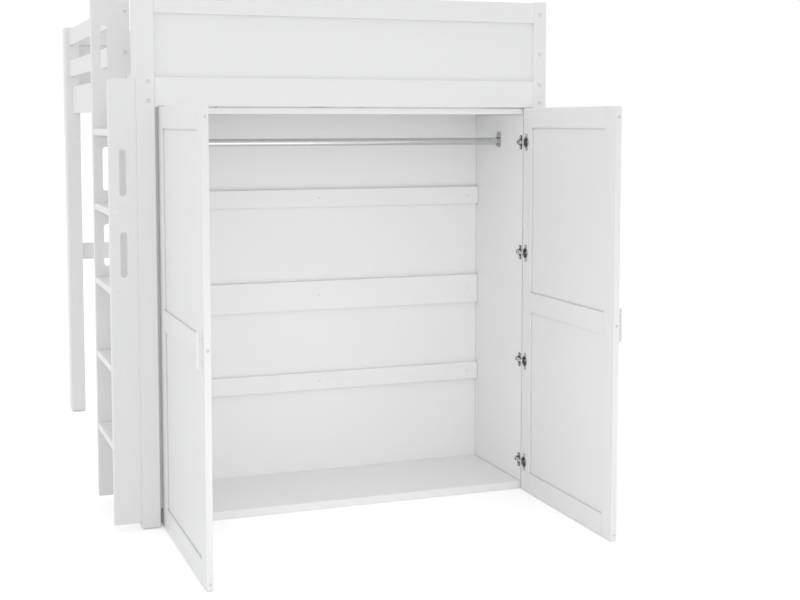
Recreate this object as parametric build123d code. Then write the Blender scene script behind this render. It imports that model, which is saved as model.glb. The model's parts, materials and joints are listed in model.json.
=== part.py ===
from build123d import *
from math import sqrt
import os

# Loft bed over an open wardrobe: x across the bed, y from the wardrobe end to the far end, z up.
# Pieces are laid out from the floor, the bed's middle and the front of the front posts.

# Posts
bed_width = 1460
bed_length = 2000
post_height = 1760
post_depth = 92
left_post_width = 61
right_post_width = 48
post_ease = 2
foot_chamfer = 7

# End frames between the posts
end_rail_depth = 32
end_rail_drop = 4
top_rail_height = 70
guard_panel_height = 205
lower_rail_height = 93.5
guard_panel_recess = 14
guard_panel_thickness = 10
groove_depth = 8
groove_clearance = 0.2
rail_ease = 1.5

# Long side rails and guard rails
side_rail_thickness = 22
side_rail_drop = 45
side_rail_height = 120
guard_rail_height = 70
guard_rail_drop = 40
guard_rail_spacing = 140
left_side_line = 39.5
left_guard_line = 27
right_side_line = 26.5
stretcher_height = 75

# Slats, their cleats and the beam under them
cleat_size = 22
slat_lift = 7
slat_thickness = 18
slat_width = 70
slat_count = 13
slat_end_gap = 1.5
first_slat_gap = 8
cleat_ease = 1
beam_width = 60
beam_height = 35
hanger_sheet = 1.5
hanger_reach = 30
hanger_clearance = 0.2

# Ladder at the front left corner
ladder_width = 89
stile_thickness = 22
stile_bottom = 25
stile_drop = 6
stile_corner = 15
ladder_reach = 367
board_catch = 42
slot_width = 24
grab_slot_drop = 86
grab_slot_length = 157
tread_count = 5
first_tread = 277
top_tread_drop = 172
tread_thickness = 22
tread_setback = 2
tread_ease = 2

# Wardrobe carcass
carcass_gap = 12.5
carcass_front = 21
wall_thickness = 20
base_thickness = 28
carcass_top_gap = 3.5
top_thickness = 20
top_end_gap = 0.5
back_face = 431
back_thickness = 6
batten_thickness = 18
narrow_batten_height = 65
wide_batten_height = 108
spacer_front = 24
spacer_bottom = 60
panel_ease = 1

# Hanging rod and its end sockets
rod_radius = 13
rod_drop = 118.5
rod_depth = 222
socket_clearance = 0.3
socket_wall = 2.5
socket_length = 12
socket_plate = 3
socket_plate_width = 34
socket_tab_up = 34
socket_tab_down = 22
socket_corner = 8
socket_sides = 20

# Doors
door_thickness = 20
door_proud = 2.5
door_middle_gap = 3
door_bottom = 4
door_top_rise = 2.2
door_stile_width = 65
door_rail_height = 70
door_recess = 6
door_groove_depth = 8
door_tongue_gap = 0.4
door_ease = 1

# Cup hinges: one pin each, standing near the door's outer hinge corner
pin_from_edge = 8
pin_from_inner_face = 12
pin_radius = 1
pin_clearance = 0.08
pin_end_gap = 0.3
eye_radius = 2
cup_from_edge = 21.5
cup_radius = 17.4
cup_wall = 0.9
cup_inner_depth = 14.6
cup_floor = 0.7
cup_seat_clearance = 0.1
cup_sides = 18
eye_sides = 12
flange_thickness = 1.2
flange_rim = 2
flange_height = 60
flange_width = 17
flange_from_edge = 24
arm_height = 8.4
arm_thickness = 2.4
arm_offset = 18
arm_end = 54
arm_block_front = 24
arm_block_height = 12
plate_thickness = 2
plate_front = 23
plate_length = 33
plate_height = 18
wing_front = 25
wing_width = 16
wing_height = 50
plate_corner = 5

# Handles
handle_length = 110
handle_width = 10
handle_bar_depth = 7
handle_reach = 19
handle_from_edge = 18
handle_foot_spacing = 76
handle_foot_radius = 4.5
handle_ease = 1.5

# Bolts and screws
bolt_head_radius = 6.5
bolt_head_length = 5
bolt_sink = 1.5
bolt_shank_radius = 3.5
bolt_bite = 45
side_bolt_spread = 63
screw_head_radius = 4
screw_head_length = 2.4
screw_sink = 0.8
screw_stand = 0.8
hole_clearance = 0.2
hole_tip_clearance = 0.5
fastener_sides = 10
shank_sides = 6
tread_screw_inset = 25
top_screw_drop = 34
bottom_screw_rise = 18
batten_screw_inset = 45
flange_screw_spread = 48
plate_screw_spread = 36
small_head_radius = 3.2
small_head_length = 1.4
overrun = 5

# Shares of a whole
half_share = 0.5
hinge_shares = (0.0738, 0.3415, 0.625, 0.9116)
batten_shares = (0.2677, 0.5007, 0.7626)
low_slot_shares = (0.18, 0.756)
stretcher_share = 0.4214
high_slot_shares = (0.205, 0.797)

# Angles
quarter_turn = 90

# Lines that several pieces share
left_face = -bed_width * half_share
right_face = bed_width * half_share
post_left_inner = left_face + left_post_width
post_right_inner = right_face - right_post_width
opening_middle = (post_left_inner + post_right_inner) * half_share
opening_half = (post_right_inner - post_left_inner) * half_share
carcass_half = opening_half - carcass_gap
wall_inner = carcass_half - wall_thickness
carcass_back = back_face + back_thickness
end_rail_top = post_height - end_rail_drop
lower_rail_top = end_rail_top - top_rail_height - guard_panel_height
carcass_top = lower_rail_top - lower_rail_height - carcass_top_gap
side_rail_middle = lower_rail_top - side_rail_drop
slat_top = side_rail_middle + slat_lift
stile_top = lower_rail_top - stile_drop
tread_rise = (stile_top - top_tread_drop - first_tread) / (tread_count - 1)
grab_slot_top = end_rail_top - grab_slot_drop
rod_height = carcass_top - rod_drop
door_top = carcass_top + door_top_rise
middle_rail_middle = (door_bottom + door_top) * half_share
hinge_heights = tuple(door_bottom + (door_top - door_bottom) * share for share in hinge_shares)
top_bottom = carcass_top - top_thickness
slat_bottom = slat_top - slat_thickness
side_rail_top = side_rail_middle + side_rail_height * half_share
left_rail_x = left_face + left_side_line
left_guard_x = left_face + left_guard_line
right_rail_x = right_face - right_side_line
half_rail = side_rail_thickness * half_share
top_guard_middle = end_rail_top - guard_rail_drop
low_guard_middle = top_guard_middle - guard_rail_spacing
rear_post_front = bed_length - post_depth
ladder_left = left_face - ladder_width
ladder_middle = left_face - ladder_width * half_share
board_back = ladder_reach + stile_thickness
door_inner_closed = door_thickness - door_proud
pin_y = door_inner_closed - pin_from_inner_face
pin_x = carcass_half - pin_from_edge
hinge_edge_y = pin_y + pin_from_edge
door_inner_x = pin_x - pin_from_inner_face
door_outer_x = door_inner_x + door_thickness
door_width = carcass_half - door_middle_gap * half_share
free_edge_y = hinge_edge_y - door_width
panel_front = door_recess
panel_back = door_thickness - door_recess
cup_y = hinge_edge_y - cup_from_edge

# The origin is on the floor under the middle of the part's box, doors open
origin_x = (ladder_left + right_face) * half_share
origin_y = (free_edge_y + bed_length) * half_share


def slab(x0, x1, y0, y1, z0, z1):
    """Return a plain block between two corners."""
    block = Box(x1 - x0, y1 - y0, z1 - z0, align=(Align.MIN, Align.MIN, Align.MIN))
    return Pos(x0, y0, z0) * block


def eased(block, amount):
    """Return a block with all its edges broken."""
    return chamfer(block.edges(), amount)


def board(x0, x1, y0, y1, z0, z1, amount=rail_ease):
    """Return a block with broken edges."""
    return eased(slab(x0, x1, y0, y1, z0, z1), amount)


def turned_from_z(direction):
    """Return the turn that lays the z axis along a direction."""
    turns = {
        "+x": Rot(0, quarter_turn, 0),
        "+y": Rot(-quarter_turn, 0, 0),
        "-y": Rot(quarter_turn, 0, 0),
        "+z": Rot(0, 0, 0),
    }
    return turns[direction]


def round_bar(point, direction, radius, length):
    """Return a cylinder that starts at a point."""
    bar = Cylinder(radius, length, align=(Align.CENTER, Align.CENTER, Align.MIN))
    return Pos(*point) * turned_from_z(direction) * bar


def peg(point, direction, radius, length, sides):
    """Return a many-sided bar, for round pieces too small to need true curves."""
    bar = extrude(RegularPolygon(radius, sides), length)
    return Pos(*point) * turned_from_z(direction) * bar


def bolt(point, direction, length):
    """Return a sunk bolt with a plain cover on its head."""
    shank_start = bolt_sink + bolt_head_length
    head = peg((0, 0, bolt_sink), "+z", bolt_head_radius, bolt_head_length, fastener_sides)
    shank = peg((0, 0, shank_start), "+z", bolt_shank_radius, length - shank_start, shank_sides)
    return Pos(*point) * turned_from_z(direction) * (head + shank)


def bolt_hole(point, direction, length):
    """Return the stepped hole for a bolt."""
    mouth_length = overrun + bolt_sink + bolt_head_length
    mouth = peg((0, 0, -overrun), "+z", bolt_head_radius + hole_clearance, mouth_length, fastener_sides)
    bore = peg((0, 0, 0), "+z", bolt_shank_radius + hole_clearance, length + hole_tip_clearance, shank_sides)
    return Pos(*point) * turned_from_z(direction) * (mouth + bore)


def screw(point, direction):
    """Return a screw head sunk in its board."""
    head = peg((0, 0, screw_sink), "+z", screw_head_radius, screw_head_length, fastener_sides)
    return Pos(*point) * turned_from_z(direction) * head


def screw_hole(point, direction):
    """Return the hole for a sunk screw head."""
    length = overrun + screw_sink + screw_head_length
    mouth = peg((0, 0, -overrun), "+z", screw_head_radius + hole_clearance, length, fastener_sides)
    return Pos(*point) * turned_from_z(direction) * mouth


def cap_screw(point, direction, radius=screw_head_radius, stand=screw_stand):
    """Return a screw head that stands on a surface."""
    head = peg((0, 0, -stand), "+z", radius, stand, fastener_sides)
    return Pos(*point) * turned_from_z(direction) * head


def drilled(piece, holes):
    """Return a piece with its holes cut."""
    for hole in holes:
        piece = piece - hole
    return piece


def post_bolt_marks():
    """Return the x and z of every bolt through the face of an end's posts."""
    spread = side_bolt_spread * half_share
    left = [(left_rail_x, side_rail_middle - spread), (left_rail_x, side_rail_middle + spread)]
    right = [
        (right_rail_x, side_rail_middle - spread),
        (right_rail_x, side_rail_middle + spread),
        (right_rail_x, low_guard_middle),
        (right_rail_x, top_guard_middle),
    ]
    rear_left = [(left_guard_x, low_guard_middle), (left_guard_x, top_guard_middle)]
    return left, right, rear_left


def bed_bolt_places():
    """Return the start, direction and length of every bed bolt."""
    left, right, rear_left = post_bolt_marks()
    length = post_depth + bolt_bite
    front = [((x, 0, z), "+y", length) for x, z in left + right]
    rear = [((x, bed_length, z), "-y", length) for x, z in left + right + rear_left]
    ladder = [((left_guard_x, ladder_reach, z), "+y", stile_thickness + bolt_bite) for x, z in rear_left]
    return front + rear + ladder


def post(x0, x1, y0, y1, holes):
    """Return a post with broken edges and a cut-back foot."""
    shaft = slab(x0, x1, y0, y1, 0, post_height)
    shaft = chamfer(shaft.faces().sort_by(Axis.Z)[0].edges(), foot_chamfer)
    shaft = chamfer(shaft.edges().filter_by(Axis.Z), post_ease)
    shaft = chamfer(shaft.faces().sort_by(Axis.Z)[-1].edges(), post_ease)
    return drilled(shaft, holes)


def end_frame(y_outer, inward):
    """Return the top rail, guard panel and lower rail of one end."""
    y_inner = y_outer + inward * end_rail_depth
    low_y = min(y_outer, y_inner)
    high_y = max(y_outer, y_inner)
    panel_outer = y_outer + inward * guard_panel_recess
    panel_ys = sorted((panel_outer, panel_outer + inward * guard_panel_thickness))
    top_bottom_z = end_rail_top - top_rail_height
    low_bottom_z = lower_rail_top - lower_rail_height
    groove = slab(
        post_left_inner - overrun,
        post_right_inner + overrun,
        panel_ys[0] - groove_clearance,
        panel_ys[1] + groove_clearance,
        lower_rail_top - groove_depth,
        top_bottom_z + groove_depth,
    )
    top_rail = board(post_left_inner, post_right_inner, low_y, high_y, top_bottom_z, end_rail_top) - groove
    low_rail = board(post_left_inner, post_right_inner, low_y, high_y, low_bottom_z, lower_rail_top) - groove
    panel = slab(
        post_left_inner,
        post_right_inner,
        panel_ys[0],
        panel_ys[1],
        lower_rail_top - groove_depth + groove_clearance,
        top_bottom_z + groove_depth - groove_clearance,
    )
    return top_rail, panel, low_rail


def side_board(x_middle, y0, y1, z_middle, height, holes):
    """Return one long rail that lies along the bed, with the bolt holes that reach it."""
    rail = board(
        x_middle - half_rail,
        x_middle + half_rail,
        y0,
        y1,
        z_middle - height * half_share,
        z_middle + height * half_share,
    )
    return drilled(rail, holes)


def cleats():
    """Return the two cleats that carry the slat ends."""
    left_x = left_rail_x + half_rail
    right_x = right_rail_x - half_rail
    spans = [(left_x, left_x + cleat_size), (right_x - cleat_size, right_x)]
    bottom = slat_bottom - cleat_size
    return [board(x0, x1, post_depth, rear_post_front, bottom, slat_bottom, cleat_ease) for x0, x1 in spans]


def slats():
    """Return the slats."""
    x0 = left_rail_x + half_rail + slat_end_gap
    x1 = right_rail_x - half_rail - slat_end_gap
    start = post_depth + first_slat_gap
    pitch = (bed_length - start - start - slat_width) / (slat_count - 1)
    return [
        slab(x0, x1, start + pitch * i, start + pitch * i + slat_width, slat_bottom, slat_top)
        for i in range(slat_count)
    ]


def centre_beam():
    """Return the beam that carries the middle of the slats."""
    half = beam_width * half_share
    start = end_rail_depth + hanger_sheet + hanger_clearance
    return board(-half, half, start, bed_length - start, slat_bottom - beam_height, slat_bottom)


def beam_hangers():
    """Return the two sheet metal hangers at the beam's ends."""
    half = beam_width * half_share + hanger_clearance
    outer = half + hanger_sheet
    floor_z = slat_bottom - beam_height - hanger_clearance
    shell = slab(-outer, outer, 0, hanger_reach, floor_z - hanger_sheet, slat_bottom - hanger_clearance)
    hollow = slab(-half, half, hanger_sheet, hanger_reach + overrun, floor_z, slat_bottom + overrun)
    front = Pos(0, end_rail_depth, 0) * (shell - hollow)
    rear = Pos(0, bed_length, 0) * mirror(front, about=Plane.XZ)
    return [front, rear]


def hand_slot(bottom, top, y0, y1):
    """Return the round-ended cut for one hand slot."""
    radius = slot_width * half_share
    start = y0 - overrun
    through = y1 - y0 + overrun + overrun
    x0 = ladder_middle - radius
    x1 = ladder_middle + radius
    middle = slab(x0, x1, start, start + through, bottom + radius, top - radius)
    low = round_bar((ladder_middle, start, bottom + radius), "+y", radius, through)
    high = round_bar((ladder_middle, start, top - radius), "+y", radius, through)
    return middle + low + high


def tread_heights():
    """Return the middle height of every tread."""
    return [first_tread + tread_rise * i for i in range(tread_count)]


def tread_gap_slot(tread, shares):
    """Return the bottom and top of a hand slot over a tread, counted from the lowest."""
    base = tread_heights()[tread]
    low_share, high_share = shares
    return base + tread_rise * low_share, base + tread_rise * high_share


def hand_slot_spans():
    """Return the bottom and top of the two slots that both ladder boards have."""
    return [
        tread_gap_slot(tread_count - 3, low_slot_shares),
        tread_gap_slot(tread_count - 2, high_slot_shares),
    ]


def ladder_screws():
    """Return the screw heads at both ends of every tread."""
    x = ladder_left + tread_screw_inset
    front = [cap_screw((x, 0, z), "+y") for z in tread_heights()]
    rear = [cap_screw((x, board_back, z), "-y") for z in tread_heights()]
    return front + rear


def ladder_front_stile():
    """Return the short front stile."""
    stile = slab(ladder_left, left_face, 0, stile_thickness, stile_bottom, stile_top)
    corner = stile.edges().filter_by(Axis.Y).sort_by(Axis.Z)[-2:].sort_by(Axis.X)[0]
    stile = fillet(corner, stile_corner)
    stile = chamfer(stile.faces().sort_by(Axis.Y)[0].edges(), rail_ease)
    stile = chamfer(stile.faces().sort_by(Axis.Y)[-1].edges(), rail_ease)
    for bottom, top in hand_slot_spans():
        stile = stile - hand_slot(bottom, top, 0, stile_thickness)
    return stile


def ladder_rear_board(holes):
    """Return the tall rear board, notched round the side rail."""
    low = slab(ladder_left, left_rail_x - half_rail, ladder_reach, board_back, stile_bottom, end_rail_top)
    high = slab(ladder_left, left_face + board_catch, ladder_reach, board_back, side_rail_top, end_rail_top)
    blank = low + high
    blank = chamfer(blank.faces().sort_by(Axis.Y)[0].edges(), rail_ease)
    blank = chamfer(blank.faces().sort_by(Axis.Y)[-1].edges(), rail_ease)
    grab_slot = (grab_slot_top - grab_slot_length, grab_slot_top)
    for bottom, top in hand_slot_spans() + [grab_slot]:
        blank = blank - hand_slot(bottom, top, ladder_reach, board_back)
    return drilled(blank, holes)


def ladder_treads():
    """Return the treads between the stile and the board."""
    x0 = ladder_left + tread_setback
    x1 = left_face - tread_setback
    half = tread_thickness * half_share
    plan = (x0, x1, stile_thickness, ladder_reach)
    return [board(*plan, z - half, z + half, tread_ease) for z in tread_heights()]


def in_opening(piece):
    """Move a piece laid out from the opening's middle into place."""
    return Pos(opening_middle, 0, 0) * piece


def mirrored(piece):
    """Return the left-hand twin of a piece laid out from the opening's middle."""
    return mirror(piece, about=Plane.YZ)


def batten_spans():
    """Return the bottom and top of the three back battens."""
    names = ("lower_back_batten", "middle_back_batten", "upper_back_batten")
    heights = (narrow_batten_height, wide_batten_height, narrow_batten_height)
    spans = {}
    for name, share, height in zip(names, batten_shares, heights):
        middle = carcass_top * share
        spans[name] = (middle - height * half_share, middle + height * half_share)
    return spans


def batten_screws():
    """Return the screw heads on the three back battens."""
    y = back_face - batten_thickness
    xs = (-wall_inner + batten_screw_inset, 0, wall_inner - batten_screw_inset)
    middles = [(bottom + top) * half_share for bottom, top in batten_spans().values()]
    return [cap_screw((x, y, z), "+y") for z in middles for x in xs]


def carcass():
    """Return the wardrobe's boards by name."""
    depth = (carcass_front, carcass_back)
    width = (-wall_inner, wall_inner)
    top_end = opening_half - top_end_gap
    right_wall = board(wall_inner, carcass_half, *depth, 0, top_bottom, panel_ease)
    pieces = {
        "wardrobe_right_wall": right_wall,
        "wardrobe_left_wall": mirrored(right_wall),
        "wardrobe_top": board(-top_end, top_end, *depth, top_bottom, carcass_top, panel_ease),
        "wardrobe_base": board(*width, *depth, 0, base_thickness, panel_ease),
        "wardrobe_back": slab(*width, back_face, carcass_back, base_thickness, top_bottom),
    }
    batten_front = back_face - batten_thickness
    for name, (bottom, top) in batten_spans().items():
        pieces[name] = board(*width, batten_front, back_face, bottom, top, panel_ease)
    return {name: in_opening(piece) for name, piece in pieces.items()}


def spacers():
    """Return the strips between the wardrobe and the front posts."""
    right = board(carcass_half, opening_half, spacer_front, post_depth, spacer_bottom, top_bottom, panel_ease)
    return [in_opening(right), in_opening(mirrored(right))]


def rod_socket():
    """Return the right-hand rod socket, laid out from the opening's middle."""
    ring_radius = rod_radius + socket_clearance + socket_wall
    plate_half = socket_plate_width * half_share
    plate = slab(
        wall_inner - socket_plate,
        wall_inner,
        rod_depth - plate_half,
        rod_depth + plate_half,
        rod_height - socket_tab_down,
        rod_height + socket_tab_up,
    )
    plate = chamfer(plate.edges().filter_by(Axis.X), socket_corner)
    start = (wall_inner - socket_length, rod_depth, rod_height)
    ring = peg(start, "+x", ring_radius, socket_length, socket_sides)
    bore = round_bar(start, "+x", rod_radius + socket_clearance, socket_length - socket_plate)
    return plate + ring - bore


def cup():
    """Return one right-hand hinge cup with its flange, at height zero."""
    rim = door_inner_x - flange_thickness
    shell = peg((door_inner_x, cup_y, 0), "+x", cup_radius, cup_inner_depth + cup_floor, cup_sides)
    ring = peg((rim, cup_y, 0), "+x", cup_radius + flange_rim, flange_thickness, cup_sides)
    bar_y = hinge_edge_y - flange_from_edge
    half_width = flange_width * half_share
    half_height = flange_height * half_share
    bar = slab(rim, door_inner_x, bar_y - half_width, bar_y + half_width, -half_height, half_height)
    bar = chamfer(bar.edges().filter_by(Axis.X), plate_corner)
    mouth = peg((rim, cup_y, 0), "+x", cup_radius - cup_wall, flange_thickness + cup_inner_depth, cup_sides)
    return shell + ring + bar - mouth


def pin():
    """Return one hinge pin, at height zero."""
    offset = cup_from_edge - pin_from_edge
    chord = sqrt((cup_radius - cup_wall) ** 2 - (offset + pin_radius) ** 2) - pin_end_gap
    return round_bar((pin_x, pin_y, -chord), "+z", pin_radius, chord + chord)


def hinge_arm():
    """Return one right-hand cranked arm, at height zero."""
    half_height = arm_height * half_share
    half_sheet = arm_thickness * half_share
    arm_x = pin_x - arm_offset
    eye = peg((pin_x, pin_y, -half_height), "+z", eye_radius, arm_height, eye_sides)
    back_y = pin_y - half_sheet
    reach = slab(arm_x - half_sheet, pin_x, back_y, pin_y + half_sheet, -half_height, half_height)
    strip = slab(arm_x - half_sheet, arm_x + half_sheet, back_y, arm_end, -half_height, half_height)
    block_half = arm_block_height * half_share
    block_end = wall_inner - plate_thickness
    block = slab(arm_x - half_sheet, block_end, arm_block_front, arm_end, -block_half, block_half)
    bore = peg((pin_x, pin_y, -half_height), "+z", pin_radius + pin_clearance, arm_height, eye_sides)
    return eye + reach + strip + block - bore


def hinge_plate():
    """Return one right-hand winged mounting plate, at height zero."""
    x0 = wall_inner - plate_thickness
    half_height = plate_height * half_share
    core = slab(x0, wall_inner, plate_front, plate_front + plate_length, -half_height, half_height)
    wing_half = wing_height * half_share
    wing = slab(x0, wall_inner, wing_front, wing_front + wing_width, -wing_half, wing_half)
    wing = chamfer(wing.edges().filter_by(Axis.X), plate_corner)
    return core + wing


def plate_screws():
    """Return the screw heads on the right-hand mounting plates."""
    x = wall_inner - plate_thickness
    y = wing_front + wing_width * half_share
    spread = plate_screw_spread * half_share
    return [
        cap_screw((x, y, z + dz), "+x", small_head_radius, small_head_length)
        for z in hinge_heights
        for dz in (-spread, spread)
    ]


def flange_screws():
    """Return the screw heads on the right-hand cup flanges."""
    x = door_inner_x - flange_thickness
    y = hinge_edge_y - flange_from_edge
    spread = flange_screw_spread * half_share
    return [
        cap_screw((x, y, z + dz), "+x", small_head_radius, small_head_length)
        for z in hinge_heights
        for dz in (-spread, spread)
    ]


def door_edge_screw_places():
    """Return the start and direction of the screws in a door's free edge."""
    x = (door_inner_x + door_outer_x) * half_share
    heights = (door_top - top_screw_drop, middle_rail_middle, door_bottom + bottom_screw_rise)
    return [((x, free_edge_y, z), "+y") for z in heights]


def door_rail_spans():
    """Return the bottom and top of a door's three rails."""
    half = door_rail_height * half_share
    return {
        "top_rail": (door_top - door_rail_height, door_top),
        "middle_rail": (middle_rail_middle - half, middle_rail_middle + half),
        "bottom_rail": (door_bottom, door_bottom + door_rail_height),
    }


def door_core(y0, y1, z0, z1):
    """Return a block as thick as a door's panels and in line with them."""
    return slab(door_inner_x + panel_front, door_inner_x + panel_back, y0, y1, z0, z1)


def door_stile(y0, y1, groove_y0, groove_y1):
    """Return a door stile with its panel groove."""
    stile = slab(door_inner_x, door_outer_x, y0, y1, door_bottom, door_top)
    stile = chamfer(stile.edges().filter_by(Axis.Z), door_ease)
    return stile - door_core(groove_y0, groove_y1, door_bottom - overrun, door_top + overrun)


def door_stiles():
    """Return a right-hand door's two stiles."""
    inner_y = hinge_edge_y - door_stile_width
    hinge_stile = door_stile(inner_y, hinge_edge_y, inner_y - overrun, inner_y + door_groove_depth)
    depth = cup_inner_depth + cup_floor + cup_seat_clearance
    radius = cup_radius + cup_seat_clearance
    pockets = [peg((door_inner_x, cup_y, z), "+x", radius, depth, cup_sides) for z in hinge_heights]
    hinge_stile = drilled(hinge_stile, pockets)
    free_y = free_edge_y + door_stile_width
    free_stile = door_stile(free_edge_y, free_y, free_y - door_groove_depth, free_y + overrun)
    free_stile = drilled(free_stile, [screw_hole(*place) for place in door_edge_screw_places()])
    return hinge_stile, free_stile


def door_rail(bottom, top):
    """Return a door rail with stub tenons and panel grooves."""
    y0 = free_edge_y + door_stile_width
    y1 = hinge_edge_y - door_stile_width
    tenon = door_groove_depth - door_tongue_gap
    start = y0 - tenon - overrun
    end = y1 + tenon + overrun
    rail = slab(door_inner_x, door_outer_x, y0, y1, bottom, top)
    rail = rail + door_core(y0 - tenon, y1 + tenon, bottom, top)
    if bottom > door_bottom:
        rail = rail - door_core(start, end, bottom - overrun, bottom + door_groove_depth)
    if top < door_top:
        rail = rail - door_core(start, end, top - door_groove_depth, top + overrun)
    return rail


def door_panel(bottom, top):
    """Return a door panel between two rails, with its edges in the grooves."""
    tongue = door_groove_depth - door_tongue_gap
    y0 = free_edge_y + door_stile_width - tongue
    y1 = hinge_edge_y - door_stile_width + tongue
    return door_core(y0, y1, bottom - tongue, top + tongue)


def handle():
    """Return a bar handle on two feet."""
    y = free_edge_y + handle_from_edge
    half = handle_length * half_share
    half_width = handle_width * half_share
    bar_x = door_outer_x + handle_reach
    bar = board(
        bar_x - handle_bar_depth,
        bar_x,
        y - half_width,
        y + half_width,
        middle_rail_middle - half,
        middle_rail_middle + half,
        handle_ease,
    )
    foot_length = handle_reach - handle_bar_depth * half_share
    spread = handle_foot_spacing * half_share
    for z in (middle_rail_middle - spread, middle_rail_middle + spread):
        bar = bar + peg((door_outer_x, y, z), "+x", handle_foot_radius, foot_length, fastener_sides)
    return bar


def door():
    """Return a right-hand door's solids by name, laid out from the opening's middle."""
    spans = door_rail_spans()
    hinge_stile, free_stile = door_stiles()
    pieces = {"hinge_stile": [hinge_stile], "free_stile": [free_stile]}
    for name, (bottom, top) in spans.items():
        pieces[name] = [door_rail(bottom, top)]
    pieces["upper_panel"] = [door_panel(spans["middle_rail"][1], spans["top_rail"][0])]
    pieces["lower_panel"] = [door_panel(spans["bottom_rail"][1], spans["middle_rail"][0])]
    pieces["handle"] = [handle()]
    one_cup = cup()
    one_pin = pin()
    pieces["hinge_cups"] = [Pos(0, 0, z) * piece for z in hinge_heights for piece in (one_cup, one_pin)]
    pieces["screws"] = [screw(*place) for place in door_edge_screw_places()] + flange_screws()
    return pieces


def bed_pieces():
    """Return the bed frame's solids by name."""
    holes = [bolt_hole(*place) for place in bed_bolt_places()]
    left, right, rear_left = post_bolt_marks()
    front_left_holes = holes[: len(left)]
    front_right_holes = holes[len(left) : len(left + right)]
    rear_holes = holes[len(left + right) : -len(rear_left)]
    rear_left_holes = rear_holes[: len(left)] + rear_holes[len(left + right) :]
    rear_right_holes = rear_holes[len(left) : len(left + right)]
    left_holes = front_left_holes + rear_left_holes
    right_holes = front_right_holes + rear_right_holes
    board_holes = holes[-len(rear_left) :]
    front = end_frame(0, 1)
    rear = end_frame(bed_length, -1)
    stretcher_y = rear_post_front + post_depth * half_share
    stretcher_middle = post_height * stretcher_share
    guard_holes = board_holes + rear_left_holes
    left_x = (left_face, post_left_inner)
    right_x = (post_right_inner, right_face)
    long_y = (post_depth, rear_post_front)
    guard_y = (board_back, rear_post_front)
    side = (side_rail_middle, side_rail_height)
    low_guard = (low_guard_middle, guard_rail_height)
    top_guard = (top_guard_middle, guard_rail_height)
    return {
        "front_left_post": [post(*left_x, 0, post_depth, front_left_holes)],
        "front_right_post": [post(*right_x, 0, post_depth, front_right_holes)],
        "rear_left_post": [post(*left_x, rear_post_front, bed_length, rear_left_holes)],
        "rear_right_post": [post(*right_x, rear_post_front, bed_length, rear_right_holes)],
        "front_top_rail": [front[0]],
        "front_guard_panel": [front[1]],
        "front_lower_rail": [front[2]],
        "rear_top_rail": [rear[0]],
        "rear_guard_panel": [rear[1]],
        "rear_lower_rail": [rear[2]],
        "left_side_rail": [side_board(left_rail_x, *long_y, *side, left_holes)],
        "right_side_rail": [side_board(right_rail_x, *long_y, *side, right_holes)],
        "left_low_guard_rail": [side_board(left_guard_x, *guard_y, *low_guard, guard_holes)],
        "left_top_guard_rail": [side_board(left_guard_x, *guard_y, *top_guard, guard_holes)],
        "right_low_guard_rail": [side_board(right_rail_x, *long_y, *low_guard, right_holes)],
        "right_top_guard_rail": [side_board(right_rail_x, *long_y, *top_guard, right_holes)],
        "slat_cleats": cleats(),
        "slats": slats(),
        "centre_beam": [centre_beam()],
        "beam_hangers": beam_hangers(),
        "rear_stretcher": [
            board(
                post_left_inner,
                post_right_inner,
                stretcher_y - half_rail,
                stretcher_y + half_rail,
                stretcher_middle - stretcher_height * half_share,
                stretcher_middle + stretcher_height * half_share,
            )
        ],
        "bed_bolts": [bolt(*place) for place in bed_bolt_places()],
        "ladder_front_stile": [ladder_front_stile()],
        "ladder_rear_board": [ladder_rear_board(board_holes)],
        "ladder_treads": ladder_treads(),
        "ladder_screws": ladder_screws(),
    }


def wardrobe_pieces():
    """Return the wardrobe's fixed solids by name."""
    pieces = {name: [piece] for name, piece in carcass().items()}
    pieces["wardrobe_spacers"] = spacers()
    rod_end = wall_inner - socket_plate
    pieces["hanging_rod"] = [
        in_opening(round_bar((-rod_end, rod_depth, rod_height), "+x", rod_radius, rod_end + rod_end))
    ]
    socket = rod_socket()
    pieces["rod_sockets"] = [in_opening(socket), in_opening(mirrored(socket))]
    plate = hinge_plate()
    arm = hinge_arm()
    plates = [Pos(0, 0, z) * plate for z in hinge_heights]
    arms = [Pos(0, 0, z) * arm for z in hinge_heights]
    pieces["hinge_plates"] = [in_opening(piece) for piece in plates + [mirrored(piece) for piece in plates]]
    pieces["hinge_arms"] = [in_opening(piece) for piece in arms + [mirrored(piece) for piece in arms]]
    right_screws = plate_screws()
    screws = batten_screws() + right_screws + [mirrored(piece) for piece in right_screws]
    pieces["wardrobe_screws"] = [in_opening(piece) for piece in screws]
    return pieces


def save(name, solids):
    """Write one node to its own file, moved to the part's origin."""
    moved = [Pos(-origin_x, -origin_y, 0) * solid for solid in solids]
    shape = moved[0] if len(moved) == 1 else Compound(children=moved)
    export_step(shape, os.path.join("parts", name + ".step"))


def main():
    """Build every node."""
    os.makedirs("parts", exist_ok=True)
    for name, solids in bed_pieces().items():
        save(name, solids)
    for name, solids in wardrobe_pieces().items():
        save(name, solids)
    for name, solids in door().items():
        save("right_door_" + name, [in_opening(solid) for solid in solids])
        save("left_door_" + name, [in_opening(mirrored(solid)) for solid in solids])


main()
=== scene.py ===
import json
import logging
import math
from dataclasses import dataclass
from enum import Enum
from typing import Iterable, Sequence

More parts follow.
